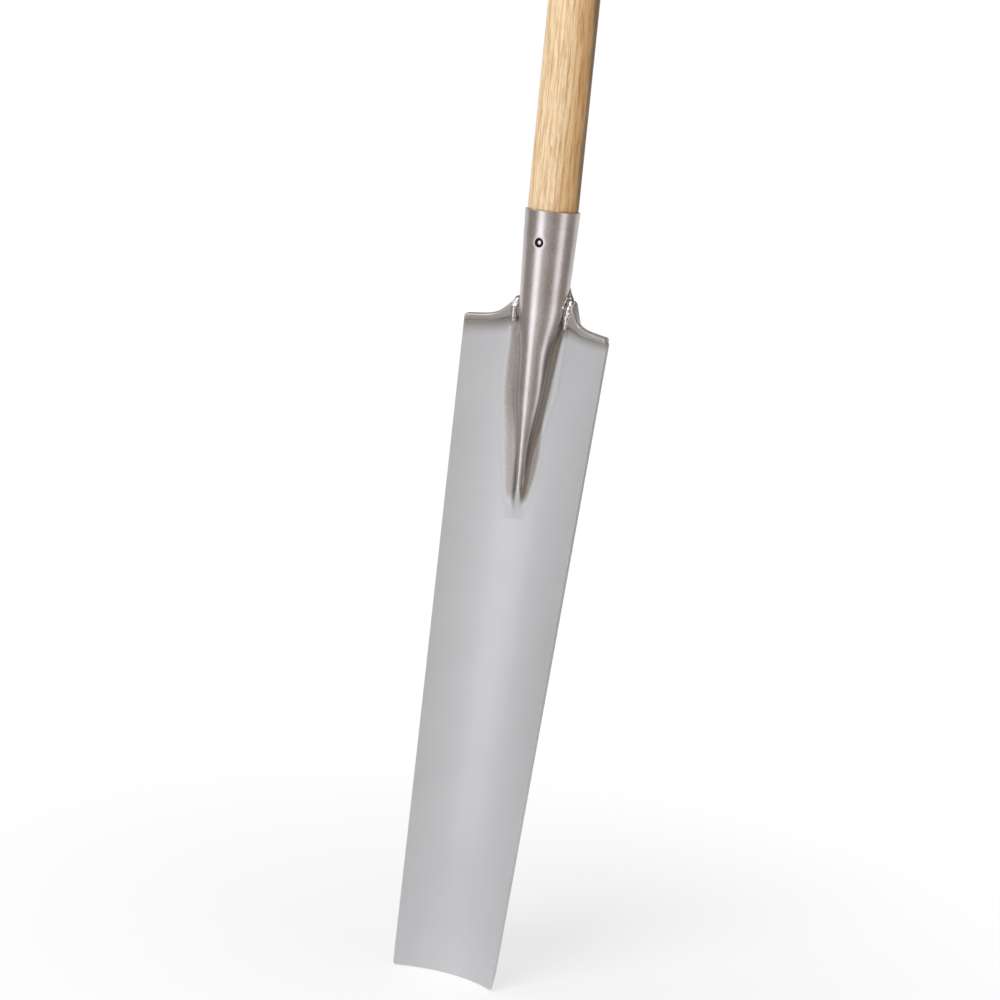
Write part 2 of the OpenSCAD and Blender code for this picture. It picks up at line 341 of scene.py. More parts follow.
steelLook = dict(
    colour="c8c9cb", shade="c2c3c5", heatAndShade="99948f", metallic=0.6, roughness=0.62,
    grainMm=0.5, grainDepthMm=0.06, cloudMm=60.0,
    # heat tint and painted shade under the treads: its depth, rise, soft edge, sway and lean to the left
    heatAndShadeMm=9.0, heatAndShadeUpMm=4.0, heatAndShadeEdgeMm=3.0, heatAndShadeSwayMm=6.0, heatAndShadeLeft=-0.03,
    lacquer=1.0, lacquerIor=1.6, lacquerRoughness=0.27,
)


def makeSatinSteel():
    # even grey with one soft wide band of light
    look = steelLook
    made, tree, shader = newMaterial("steel plate, silver lacquered over a blasted face")
    where = addNode(tree, "TexCoord").outputs["Object"]
    cloud = addNode(tree, "TexNoise", {"Vector": where},
                    {"Scale": 1 / (look["cloudMm"] * mm), "Detail": 2.0, "Roughness": 0.5})
    tone = setStops(addNode(tree, "ValToRGB", {"Fac": cloud.outputs["Fac"]}),
                    [(0.25, look["shade"]), (0.75, look["colour"])])
    # the grain is drawn coarser than blasting leaves it, to show
    grain = addNode(tree, "TexNoise", {"Vector": where},
                    {"Scale": 1 / (look["grainMm"] * mm), "Detail": 2.0})
    bump = addNode(tree, "Bump", {"Height": grain.outputs["Fac"]},
                   {"Strength": 0.12, "Distance": look["grainDepthMm"] * mm})
    # a darker tint just under the treads: heat tint of their welds, with painted shade under their overhang
    part = addNode(tree, "SeparateXYZ", {0: where})
    out = addNode(tree, "Math", {0: part.outputs["X"]}, operation="ABSOLUTE")
    level = addNode(tree, "Math", {0: out.outputs[0], 2: part.outputs["Z"]}, {1: treadSlope},
                    operation="MULTIPLY_ADD")
    leftMore = addNode(tree, "Math", {0: part.outputs["X"], 2: level.outputs[0]}, {1: look["heatAndShadeLeft"]},
                       operation="MULTIPLY_ADD")
    uneven = addNode(tree, "Math", {0: cloud.outputs["Fac"], 2: leftMore.outputs[0]},
                     {1: look["heatAndShadeSwayMm"] * mm}, operation="MULTIPLY_ADD")
    weldLevel = place(0, 0, treadLine(0))[2] + look["heatAndShadeUpMm"] * mm
    heatAndShade = addNode(tree, "MapRange", {"Value": uneven.outputs[0]},
                   {"From Min": weldLevel - look["heatAndShadeMm"] * mm,
                    "From Max": weldLevel + look["heatAndShadeEdgeMm"] * mm})
    colour = addNode(tree, "Mix", {0: heatAndShade.outputs["Result"], 6: tone.outputs["Color"]},
                     {7: linear(look["heatAndShade"])}, data_type="RGBA")
    plug(tree, shader, {"Base Color": colour.outputs[2], "Normal": bump.outputs["Normal"]},
         {"Roughness": look["roughness"], "Metallic": look["metallic"], "Coat Weight": look["lacquer"],
          "Coat IOR": look["lacquerIor"], "Coat Roughness": look["lacquerRoughness"]})
    return made


socketLook = dict(
    # the heat colour is heat tint and painted shade on the flanks beside the ridge
    colour="d4cfce", shade="bbb4b2", hole="15120f", heatAndShade="857b73", roughness=0.32, roughnessSway=0.06,
    speckleMm=1.3, speckleDepthMm=0.1, stretch=0.45, stainMm=24.0,
    # the hole colour is painted shade, near black, within this reach of a centre this deep inside the tube
    holeMm=3.55, holeEdgeMm=0.12, holeDepthMm=1.1,
)


def makeBrushedSteel():
    # bright streaks along the tube, speckled
    look = socketLook
    made, tree, shader = newMaterial("steel tube, wire brushed after forging")
    where = addNode(tree, "TexCoord").outputs["Object"]
    fine = 1 / (look["speckleMm"] * mm)
    drawn = addNode(tree, "Mapping", {"Vector": where}, {"Scale": (fine, fine, fine * look["stretch"])})
    speckle = addNode(tree, "TexNoise", {"Vector": drawn.outputs["Vector"]},
                      {"Scale": 1.0, "Detail": 4.0, "Roughness": 0.6})
    stain = addNode(tree, "TexNoise", {"Vector": where},
                    {"Scale": 1 / (look["stainMm"] * mm), "Detail": 3.0})
    both = addNode(tree, "Math", {0: speckle.outputs["Fac"], 1: stain.outputs["Fac"]}, operation="ADD")
    half = addNode(tree, "Math", {0: both.outputs[0]}, {1: 0.5}, operation="MULTIPLY")
    tone = setStops(addNode(tree, "ValToRGB", {"Fac": half.outputs[0]}),
                    [(0.35, look["shade"]), (0.65, look["colour"])])
    rough = addNode(tree, "MapRange", {"Value": speckle.outputs["Fac"]},
                    {"From Min": 0.25, "From Max": 0.75, "To Min": look["roughness"] - look["roughnessSway"],
                     "To Max": look["roughness"] + look["roughnessSway"]})
    bump = addNode(tree, "Bump", {"Height": speckle.outputs["Fac"]},
                   {"Strength": 0.22, "Distance": look["speckleDepthMm"] * mm})
    # painted shade in the punched nail hole
    centre = place(0, look["holeDepthMm"] - socketRadius(nailZ), nailZ)
    reach = addNode(tree, "VectorMath", {0: where}, {1: centre}, operation="DISTANCE")
    hole = addNode(tree, "MapRange", {"Value": reach.outputs["Value"]},
                   {"From Min": look["holeMm"] * mm, "From Max": (look["holeMm"] - look["holeEdgeMm"]) * mm})
    # the flanks beside the weld fillets, browned by their heat and darkened with painted shade
    near = addNode(tree, "Attribute", attribute_name="weldHeatAndShade")
    warm = addNode(tree, "Mix", {0: near.outputs["Fac"], 6: tone.outputs["Color"]},
                   {7: linear(look["heatAndShade"])}, data_type="RGBA")
    colour = addNode(tree, "Mix", {0: hole.outputs["Result"], 6: warm.outputs[2]},
                     {7: linear(look["hole"])}, data_type="RGBA")
    plug(tree, shader, {"Base Color": colour.outputs[2], "Roughness": rough.outputs["Result"],
                        "Normal": bump.outputs["Normal"]}, {"Metallic": 1.0})
    return made


groundLook = dict(
    # the heat colour is heat tint and painted shade in the band beside the ridge
    tube="c2bdb9", heatAndShade="938a83", strip="cbcccd", plate="c8c9cb", tubeRoughness=0.36, plateRoughness=0.62,
    speckleMm=1.3, speckleDepthMm=0.1, speckleSway=0.24,
)


def makeGroundSteel():
    # brown band of heat tint and painted shade, with a lighter outer line
    look = groundLook
    made, tree, shader = newMaterial("weld fillet, heat browned and ground into the plate")
    where = addNode(tree, "TexCoord").outputs["Object"]
    speckle = addNode(tree, "TexNoise", {"Vector": where},
                      {"Scale": 1 / (look["speckleMm"] * mm), "Detail": 4.0, "Roughness": 0.6})
    share = addNode(tree, "Attribute", attribute_name="platePart")
    uneven = addNode(tree, "Math", {0: speckle.outputs["Fac"], 2: share.outputs["Fac"]},
                     {1: look["speckleSway"]}, operation="MULTIPLY_ADD")
    shift = addNode(tree, "MapRange", {"Value": uneven.outputs[0]},
                    {"From Min": look["speckleSway"] / 2, "From Max": 1 + look["speckleSway"] / 2})
    tone = setStops(addNode(tree, "ValToRGB", {"Fac": shift.outputs["Result"]}),
                    [(0.0, look["tube"]), (0.2, look["heatAndShade"]), (0.5, look["heatAndShade"]), (0.78, look["strip"]),
                     (1.0, look["plate"])])
    rough = addNode(tree, "MapRange", {"Value": shift.outputs["Result"]},
                    {"To Min": look["tubeRoughness"], "To Max": look["plateRoughness"]})
    bump = addNode(tree, "Bump", {"Height": speckle.outputs["Fac"]},
                   {"Strength": 0.15, "Distance": look["speckleDepthMm"] * mm})
    plug(tree, shader, {"Base Color": tone.outputs["Color"], "Roughness": rough.outputs["Result"],
                        "Normal": bump.outputs["Normal"]}, {"Metallic": 1.0})
    return made


weldLook = dict(colour="dedcda", shade="b4aaa4", roughness=0.3, lumpMm=1.2, lumpDepthMm=0.2)


def makeWeld():
    # brighter than the plate, with small lumps
    look = weldLook
    made, tree, shader = newMaterial("weld metal, wire brushed")
    where = addNode(tree, "TexCoord").outputs["Object"]
    lump = addNode(tree, "TexNoise", {"Vector": where}, {"Scale": 1 / (look["lumpMm"] * mm), "Detail": 3.0})
    tone = setStops(addNode(tree, "ValToRGB", {"Fac": lump.outputs["Fac"]}),
                    [(0.35, look["shade"]), (0.65, look["colour"])])
    bump = addNode(tree, "Bump", {"Height": lump.outputs["Fac"]},
                   {"Strength": 0.18, "Distance": look["lumpDepthMm"] * mm})
    plug(tree, shader, {"Base Color": tone.outputs["Color"], "Normal": bump.outputs["Normal"]},
         {"Roughness": look["roughness"], "Metallic": 1.0})
    return made


ashLook = dict(
    pale="f3deb8", mid="e8c799", dark="c69a66", heartAndShade="f4dfbf", edgeShade="a69e97", ringMm=4.2, ringRise=0.02,
    pithMm=(70.0, 45.0), swayMm=6.0, waver=14.0, fibreMm=1.3, fibreLengthMm=30.0, fibreDepthMm=0.15,
    poreMm=0.6, poreLengthMm=7.0, poreShare=0.55, streakShare=0.65,
    # the heart side's browning is partly painted shade, turned to the side away from the lamps
    heartAndShadeTurn=24.8, heartAndShadeFromMm=0.5, heartAndShadeToMm=11.0, heartAndShadeShare=0.85, edgeShadeFromMm=15.6, edgeShadeToMm=18.8,
    roughness=0.46, roughnessSway=0.08, ior=1.5, shine=0.3,
)


def makeAsh(name, alongX=False):
    # pale wood with straight broken grain, browner on its heart side with painted shade there, thin clear
    # seal
    look = ashLook
    made, tree, shader = newMaterial(name)
    where = addNode(tree, "TexCoord").outputs["Object"]
    fromAxis = addNode(tree, "VectorMath", {0: where}, {1: place(0, 0, gripZ)}, operation="SUBTRACT")
    turned = addNode(tree, "Mapping", {"Vector": fromAxis.outputs[0]},
                     {"Rotation": (0.0, math.radians(90.0) if alongX else 0.0, 0.0)})
    # the grain wavers over about 70 mm
    waver = addNode(tree, "TexNoise", {"Vector": turned.outputs["Vector"]},
                    {"Scale": look["waver"], "Detail": 3.0})
    swayed = look["swayMm"] * mm
    sway = addNode(tree, "VectorMath", {0: waver.outputs["Color"]}, {1: (swayed, swayed, 0.0)},
                   operation="MULTIPLY")
    moved = addNode(tree, "VectorMath", {0: turned.outputs["Vector"], 1: sway.outputs[0]}, operation="ADD")
    # growth rings round a pith outside the shaft
    fromPith = addNode(tree, "VectorMath", {0: moved.outputs[0]},
                       {1: (look["pithMm"][0] * mm, look["pithMm"][1] * mm, 0.0)}, operation="ADD")
    flat = addNode(tree, "VectorMath", {0: fromPith.outputs[0]}, {1: (1.0, 1.0, look["ringRise"])},
                   operation="MULTIPLY")
    reach = addNode(tree, "VectorMath", {0: flat.outputs[0]}, operation="LENGTH")
    turns = addNode(tree, "Math", {0: reach.outputs["Value"]}, {1: 1 / (look["ringMm"] * mm)},
                    operation="MULTIPLY")
    ring = addNode(tree, "Math", {0: turns.outputs[0]}, operation="FRACT")
    rings = setStops(addNode(tree, "ValToRGB", {"Fac": ring.outputs[0]}),
                     [(0.0, look["dark"]), (0.2, look["mid"]), (0.5, look["pale"]), (0.85, look["pale"]),
                      (1.0, look["dark"])])
    # fibres and open pores along the grain
    fine, long = 1 / (look["fibreMm"] * mm), 1 / (look["fibreLengthMm"] * mm)
    stretch = addNode(tree, "Mapping", {"Vector": moved.outputs[0]}, {"Scale": (fine, fine, long)})
    fibre = addNode(tree, "TexNoise", {"Vector": stretch.outputs["Vector"]},
                    {"Scale": 1.0, "Detail": 5.0, "Roughness": 0.65})
    streak = setStops(addNode(tree, "ValToRGB", {"Fac": fibre.outputs["Fac"]}),
                      [(0.4, look["dark"]), (0.48, look["mid"]), (0.57, look["pale"])])
    grain = addNode(tree, "Mix", {6: rings.outputs["Color"], 7: streak.outputs["Color"]},
                    {0: look["streakShare"]}, data_type="RGBA")
    fine, long = 1 / (look["poreMm"] * mm), 1 / (look["poreLengthMm"] * mm)
    dash = addNode(tree, "Mapping", {"Vector": turned.outputs["Vector"]}, {"Scale": (fine, fine, long)})
    pore = addNode(tree, "TexNoise", {"Vector": dash.outputs["Vector"]}, {"Scale": 1.0, "Detail": 2.0})
    opened = addNode(tree, "MapRange", {"Value": pore.outputs["Fac"]},
                     {"From Min": 0.42, "From Max": 0.3, "To Min": 0.0, "To Max": look["poreShare"]})
    pitted = addNode(tree, "Mix", {0: opened.outputs["Result"], 6: grain.outputs[2]},
                     {7: linear(look["dark"])}, data_type="RGBA")
    # browner heartwood on one side, partly painted shade, and one dark band of painted shade down that side
    turn, mean = math.radians(look["heartAndShadeTurn"]), look["swayMm"] / 2    # half the sway is its average
    side = addNode(tree, "VectorMath", {0: moved.outputs[0]}, {1: (math.cos(turn), math.sin(turn), 0.0)},
                   operation="DOT_PRODUCT")
    heartAndShade = addNode(tree, "MapRange", {"Value": side.outputs["Value"]},
                    {"From Min": (look["heartAndShadeFromMm"] + mean) * mm,
                     "From Max": (look["heartAndShadeToMm"] + mean) * mm, "To Max": look["heartAndShadeShare"]},
                    interpolation_type="SMOOTHSTEP")
    browner = addNode(tree, "Mix", {0: heartAndShade.outputs["Result"], 6: pitted.outputs[2]},
                      {7: linear(look["heartAndShade"])}, data_type="RGBA", blend_type="MULTIPLY")
    # a dark band of painted shade down the edge of that side
    late = addNode(tree, "MapRange", {"Value": side.outputs["Value"]},
                   {"From Min": (look["edgeShadeFromMm"] + mean) * mm,
                    "From Max": (look["edgeShadeToMm"] + mean) * mm},
                   interpolation_type="SMOOTHSTEP")
    banded = addNode(tree, "Mix", {0: late.outputs["Result"], 6: browner.outputs[2]},
                     {7: linear(look["edgeShade"])}, data_type="RGBA", blend_type="MULTIPLY")
    rough = addNode(tree, "MapRange", {"Value": fibre.outputs["Fac"]},
                    {"To Min": look["roughness"] + look["roughnessSway"],
                     "To Max": look["roughness"] - look["roughnessSway"]})
    height = addNode(tree, "Math", {0: fibre.outputs["Fac"], 1: opened.outputs["Result"]},
                     operation="SUBTRACT")
    bump = addNode(tree, "Bump", {"Height": height.outputs[0]},
                   {"Strength": 0.2, "Distance": look["fibreDepthMm"] * mm})
    plug(tree, shader, {"Base Color": banded.outputs[2], "Roughness": rough.outputs["Result"],
                        "Normal": bump.outputs["Normal"]},
         {"IOR": look["ior"], "Specular IOR Level": look["shine"]})
    return made


darkLook = dict(
    pale="8a5a33", dark="4f2f18", fibreMm=0.5, fibreLengthMm=9.0, fibreDepthMm=0.1, roughness=0.5, ior=1.5,
)


def makeDarkWood():
    # brown end grain that marks the joint
    look = darkLook
    made, tree, shader = newMaterial("walnut, split and oiled")
    where = addNode(tree, "TexCoord").outputs["Object"]
    fine, long = 1 / (look["fibreMm"] * mm), 1 / (look["fibreLengthMm"] * mm)
    stretch = addNode(tree, "Mapping", {"Vector": where}, {"Scale": (fine, long, fine)})
    fibre = addNode(tree, "TexNoise", {"Vector": stretch.outputs["Vector"]}, {"Scale": 1.0, "Detail": 4.0})
    tone = setStops(addNode(tree, "ValToRGB", {"Fac": fibre.outputs["Fac"]}),
                    [(0.3, look["dark"]), (0.7, look["pale"])])
    bump = addNode(tree, "Bump", {"Height": fibre.outputs["Fac"]},
                   {"Strength": 0.2, "Distance": look["fibreDepthMm"] * mm})
    plug(tree, shader, {"Base Color": tone.outputs["Color"], "Normal": bump.outputs["Normal"]},
         {"Roughness": look["roughness"], "IOR": look["ior"]})
    return made


satinSteel = makeSatinSteel()
brushedSteel = makeBrushedSteel()
groundSteel = makeGroundSteel()
weldMetal = makeWeld()
darkWood = makeDarkWood()
ashAlong = makeAsh("ash, turned, sanded and clear sealed")
ashAcross = makeAsh("ash crossbar, turned, sanded and clear sealed", alongX=True)
print("materials made")


def buildBlade():
    shape = bladeShape
    length, bevel = shape["length"], shape["bevelLength"]
    corner, topRound = shape["cornerRadius"], shape["topRoundRight"]
    wing, middle = 26, 10    # columns on each side, and over the notch that the socket's ridge fills
    columns = wing * 2 + middle + 1
    downs = [topRound * f for f in (0.0, 0.03, 0.12, 0.3, 0.6)]
    downs += [mix(topRound, length, i / 90) for i in range(91)]
    downs = [d for d in downs if d < length - bevel - 2]
    downs += [length - bevel + bevel * f for f in (0, 0.2, 0.4, 0.6, 0.75)]
    downs += [length - corner * f for f in (1.0, 0.6, 0.3, 0.1, 0.02, 0.0)]
    notchEnd = socketShape["noseStart"] + shape["notchBelow"]
    points, index, faces, weights = [], {}, [], []
    for i, down in enumerate(downs):
        half = mix(shape["topWidth"], shape["tipWidth"], down / length) / 2
        over = down - (length - corner)
        if over > 0:
            half -= corner - math.sqrt(max(0.0, corner * corner - over * over))
        left, right = (half - cornerCut(shape[k], down) for k in ("topRoundLeft", "topRoundRight"))
        notched = down < notchEnd
        slot = shape["slotHalf"]
        if notched:
            slot = max(slot, ridgeHalf(-down * math.cos(lift)) + shape["slotGap"])
        for j in range(columns):
            if notched and wing < j < wing + middle:
                continue
            if j <= wing:
                x = mix(-left, -slot, j / wing)
            elif j <= wing + middle:
                x = mix(-slot, slot, (j - wing) / middle)
            else:
                x = mix(slot, right, (j - wing - middle) / wing)
            start = -treadLine(x) - shape["topLap"] - tuck(abs(x))
            s = mix(start, length, down / length)
            index[i, j] = len(points)
            points.append(place(*onBlade(x, -dish(s, x), -s)))
            ground = max(0.0, (s - (length - bevel)) / bevel)
            weights.append(mix(1.0, shape["edgeThickness"] / shape["thickness"], ground))
    for i in range(len(downs) - 1):
        for j in range(columns - 1):
            corners = [(i, j), (i, j + 1), (i + 1, j + 1), (i + 1, j)]
            if all(c in index for c in corners):
                faces.append([index[c] for c in corners])
    piece = newObject("blade_plate", points, faces, satinSteel)
    for face in piece.data.polygons:
        face.use_smooth = True
    if piece.data.polygons[0].normal.y > 0:
        piece.data.flip_normals()
    group = piece.vertex_groups.new(name="thickness")
    for i, weight in enumerate(weights):
        group.add([i], weight, "REPLACE")
    solid = piece.modifiers.new("plate", "SOLIDIFY")
    solid.thickness = shape["thickness"] * mm
    solid.offset = -1.0
    solid.use_even_offset = True
    solid.vertex_group = "thickness"
    soft = piece.modifiers.new("edges", "BEVEL")
    soft.width = shape["edgeRound"] * mm
    soft.segments = 2
    soft.limit_method = "ANGLE"
    soft.angle_limit = math.radians(50)
    soft.harden_normals = True
    attach(piece, "satin_steel", "blade")


buildBlade()
print("blade built")

# socket: pressed to a slope at the back, with a punched nail hole

# heat tint and painted shade on the socket's flanks beside the ridge
heatAndShadeShape = dict(
    full=0.85, edge=0.25, coverTop=0.78, coverLow=0.98, coverFrom=-55.0, coverRun=30.0,
    leftTop=0.4, leftFrom=-70.0, leftRun=30.0, start=8.0, startRun=24.0, end=-127.0, endRun=14.0,
)


def backLimit(z):
    foot = -socketShape["ridgeLength"] * math.cos(lift)
    heelY = rimRadius - socketShape["taper"] * (socketShape["rim"] - socketShape["heel"])
    footY = faceY(foot, 0) + bladeShape["thickness"] / math.cos(lift)
    return mix(footY, heelY, (z - foot) / (socketShape["heel"] - foot))


def socketPoint(z, turn, radius):
    x, y = radius * math.sin(turn), -radius * math.cos(turn)
    if z < socketShape["heel"] + socketShape["heelReach"]:
        y = softMin(y, backLimit(z), socketShape["heelBlend"])
    if y < 0:
        away = math.hypot(x, z - nailZ)
        y += ease(1 - away / socketShape["dimpleRadius"]) * socketShape["dimpleDepth"]
    return place(x, y, z)


def weldHeatAndShade(spot):
    # the flanks are browned by heat tint and darkened with painted shade up to near the crest, less so on the
    # left higher up
    heatAndShade = heatAndShadeShape
    x, y, z = (spot - place(0, 0, 0)) / mm
    above = (faceY(z, x) - y) / max(1.0, faceY(z, 0) + socketRadius(z))
    cover = mix(heatAndShade["coverTop"], heatAndShade["coverLow"], ease((heatAndShade["coverFrom"] - z) / heatAndShade["coverRun"]))
    side = mix(heatAndShade["leftTop"], 1.0, ease((heatAndShade["leftFrom"] - z) / heatAndShade["leftRun"])) if x < 0 else 1.0
    spread = ease((heatAndShade["start"] - z) / heatAndShade["startRun"]) * ease((z - heatAndShade["end"]) / heatAndShade["endRun"])
    return heatAndShade["full"] * side * ease((cover - above) / heatAndShade["edge"]) * spread


def buildSocket():
    shape = socketShape
    rim, wall = shape["rim"], shape["wall"]
    foot, split = -shape["ridgeLength"] * math.cos(lift) - 2, -90.0
    # columns, then the spacing and number of fine rows and half the window round the nail hole
    around, step, fine, window = 192, 0.75, 20, 8
    turns = turnsOf(around)
    heights = [mix(foot, split, i / 40) for i in range(40)]
    heights += [mix(split, nailZ - fine * step, i / 50) for i in range(50)]
    heights += [nailZ + step * i for i in range(-fine, fine + 1)]
    heights += [mix(nailZ + (fine + 1) * step, rim - shape["rimRound"], i / 8) for i in range(9)]
    rings = [[socketPoint(z, a, keelRadius(z, a)) for a in turns] for z in heights]
    for lower, inset in ((0.1, 0.1), (0.0, shape["rimRound"]), (0.0, wall - 0.25)):    # rounded rim
        rings.append([socketPoint(rim - lower, a, rimRadius - inset) for a in turns])
    inner = [z for z in reversed(heights) if z > nailZ - (fine + 1) * step] + [0.0, shape["innerEnd"]]
    firstInner = len(rings)
    rings += [[socketPoint(z, a, keelRadius(z, a) - wall) for a in turns] for z in inner]
    points, faces = loft(rings)
    loops = []
    for levels, first, depth, lip in ((heights, 0, 0.0, shape["holeLip"]), (inner, firstInner, wall, 0.0)):
        row = first + levels.index(nailZ)
        rows = list(range(row - window, row + window + 1))
        cols = [j % around for j in range(-window, window + 1)]
        for i in rows[:-1]:
            for j in cols[:-1]:
                faces[i * around + j] = None
        loop = [(rows[0], j) for j in cols[:-1]] + [(i, cols[-1]) for i in rows[:-1]]
        loop += [(rows[-1], j) for j in cols[:0:-1]] + [(i, cols[0]) for i in rows[:0:-1]]
        ring = [i * around + j for i, j in loop]
        # rings drawn in from the square window to the round hole, and one more where it has a lip
        for share in (0.65, 0.35, 0.12, 0.0, -1.0)[:5 if lip else 4]:
            nextRing = []
            for i, j in loop:
                z = levels[i - first]
                x = (socketRadius(z) - depth) * math.sin(turns[j])
                away = math.hypot(x, z - nailZ)
                rest = shape["holeDiameter"] / 2 + (lip if share >= 0 else 0.0)
                far = mix(rest, away, max(0.0, share))
                x, z = x * far / away, nailZ + (z - nailZ) * far / away
                radius = socketRadius(z) - depth - (lip if share < 0 else 0.0)
                nextRing.append(len(points))
                points.append(socketPoint(z, math.asin(x / radius), radius))
            faces += bridge(ring, nextRing)
            ring = nextRing
        loops.append(ring)
    outer, low = loops
    count = len(outer)
    pairs = [low[(3 * count // 4 - k) % count] for k in range(count)]    # low runs the other way round
    faces += bridge(outer, pairs)
    piece = newPiece("socket_tube", points, [f for f in faces if f], brushedSteel)
    paint(piece, "weldHeatAndShade", [weldHeatAndShade(vertex.co) for vertex in piece.data.vertices])
    attach(piece, "brushed_socket_steel", "socket")


buildSocket()
print("socket built")

# ridge fillets: the blended skin between tube and face, with a band beside the ridge browned by heat tint and
# painted shade

filletShape = dict(
    top=7.0, tip=3.0, shrinkFrom=45.0, shrinkRun=65.0,
    startX=20.0, startUp=3.0, startWidth=0.12, startRun=16.0,
    reach=1.25, skin=0.01, bandEdgeTop=0.8, bandEdge=3.0, edgeFrom=-20.0, edgeRun=40.0,
    bandLeft=((-200, 4.0), (-135, 6.0), (-117, 8.6), (-95, 11.3), (-27, 11.3), (0, 10.0), (40, 8.5)),
    bandRight=((-200, 3.0), (-125, 4.5), (-110, 7.0), (-95, 7.5), (-80, 5.0), (-65, 2.4),
               (-50, 1.7), (-27, 2.7), (40, 5.5)),
)
# shares from tube (0) over brown (0.5) and the band's light rim to plate (1), and where they change
bandTone = dict(
    brown=0.5, rim=0.78, rimPower=5, pale=0.1, paleFrom=-50.0, paleRun=45.0,
    # a painted highlight line along the left crevice: its share, strength, run, end, fade and width
    line=0.74, lineFull=0.9, lineRun=20.0, lineEnd=-105.0, lineFade=30.0, lineMm=4.0, lineSoftMm=1.6,
    top=0.62, topRun=9.0, noseFrom=-112.0, noseRun=12.0, noseMm=3.6, noseSoftMm=3.0, lastRow=82, lastRows=12,
)
filletStart = treadLine(filletShape["startX"]) * math.cos(lift) + filletShape["startUp"]


def filletAt(z):
    shape = filletShape
    down = -z / math.cos(lift)
    width = mix(shape["top"], shape["tip"], ease((down - shape["shrinkFrom"]) / shape["shrinkRun"]))
    return width * mix(shape["startWidth"], 1.0, ease((filletStart - z) / shape["startRun"]))


def blendGap(x, y, z, width):
    fromFace = (faceY(z, x) - y) * math.cos(lift)
    fromTube = math.hypot(x, y) - keelRadius(z, math.atan2(x, -y))
    h = max(0.0, width - abs(fromFace - fromTube)) / width
    return min(fromFace, fromTube) - h * h * width / 4


def findSkin(startY, angle, z, width):
    # where a ray from inside the tube leaves the blended skin
    def inside(far):
        return blendGap(far * math.sin(angle), startY - far * math.cos(angle), z, width) < 0
    far = halve(0.0, 60.0, inside)[1]
    return far * math.sin(angle), startY - far * math.cos(angle)


def skinOver(x, z, width):
    # height of the blended skin straight in front of the plate at x
    return halve(faceY(z, x) + 1.0, faceY(z, x) - width - 1.0, lambda y: blendGap(x, y, z, width) < 0)[1]


def noseEnd():
    # the level at which the sunk nose no longer lifts the face
    z = -socketShape["noseStart"] * math.cos(lift)
    while (faceY(z, 0) + socketRadius(z)) * math.cos(lift) > -filletAt(z):
        z -= 0.25
    return z


def buildRidgeWeld(side, name, nodeName):
    shape, tone = filletShape, bandTone
    foot = noseEnd()
    rows, half = 96, 8    # rings, and steps on the tube's and on the plate's side of each
    rings, shares = [], []
    for i in range(rows + 1):
        z = mix(filletStart, foot, i / rows)
        width, root = filletAt(z), ridgeHalf(z)
        startY = min(faceY(z, root) + 6.0, 6.0)
        turn = meetTurn(z, width)    # upper toe: where the tube stands one blend width above the face
        far = keelRadius(z, turn)
        startAngle = math.atan2(far * math.sin(turn), startY + far * math.cos(turn))
        rootAngle = math.atan2(root, startY - skinOver(root, z, width))
        band = profileAt(shape["bandLeft" if side < 0 else "bandRight"], z)
        edge = mix(shape["bandEdgeTop"], shape["bandEdge"], ease((shape["edgeFrom"] - z) / shape["edgeRun"]))
        endX = root + max(shape["reach"] * width, band + edge)
        # the left crevice gets a painted highlight line, and the left band pales lower down
        line, brown = 0.0, tone["brown"]
        if side < 0:
            line = tone["lineFull"] * ease((filletStart - z) / tone["lineRun"])
            line *= ease((z - tone["lineEnd"]) / tone["lineFade"])
            brown += tone["pale"] * ease((tone["paleFrom"] - z) / tone["paleRun"])
        bright = ease((tone["noseFrom"] - z) / tone["noseRun"])    # the crest stays bright at the nose
        ring, parts = [], []
        for j in range(half):
            x, y = findSkin(startY, mix(startAngle, rootAngle, j / half), z, width)
            ring.append(place(side * x, y - shape["skin"], z))
            part = mix(j / half / 2, tone["line"], line)
            parts.append(mix(part, 1.0, bright * ease((tone["noseMm"] - x) / tone["noseSoftMm"])))
        for j in range(half + 1):
            x = mix(root, endX, j / half)
            ring.append(place(side * x, skinOver(x, z, width) - shape["skin"], z))
            out = (x - root) / band
            if out < 1:
                part = mix(brown, tone["rim"], out ** tone["rimPower"])
            else:
                part = mix(tone["rim"], 1.0, (out - 1) * band / edge)
            # the painted highlight line near the root on the left
            part = mix(part, tone["line"], line * ease((tone["lineMm"] - (x - root)) / tone["lineSoftMm"]))
            # browned under the tread as well, painted shade with the heat tint
            part = mix(tone["top"], part, ease((filletStart - z) / tone["topRun"]))
            parts.append(min(1.0, part))
        ring.append(place(side * (root + 0.3), faceY(z, root) + 0.8, z))    # back edge, hidden by the skin
        parts.append(1.0)
        rings.append(ring)
        shares += [mix(part, 1.0, ease((i - tone["lastRow"]) / tone["lastRows"])) for part in parts]
    piece = newPiece(name, *loft(rings), groundSteel)
    paint(piece, "platePart", shares)
    attach(piece, "weld_steel", nodeName)


buildRidgeWeld(-1, "ridge_fillet_left", "left_ridge_weld")
buildRidgeWeld(1, "ridge_fillet_right", "right_ridge_weld")
print("ridge fillets built")


def smoothProfile(profile, x):
    samples = [profileAt(profile, max(0.0, x + treadShape["bendRun"] * d / 3)) for d in range(-3, 4)]
    return sum(samples) / len(samples)


def bend(start, middle, end, steps):
    shares = [k / steps for k in range(steps + 1)]
    return [(1 - t) ** 2 * start + 2 * t * (1 - t) * middle + t * t * end for t in shares]


def cornerArc(before, point, after, radius):
    start = point + (before - point).normalized() * radius
    end = point + (after - point).normalized() * radius
    return bend(start, point, end, 6)


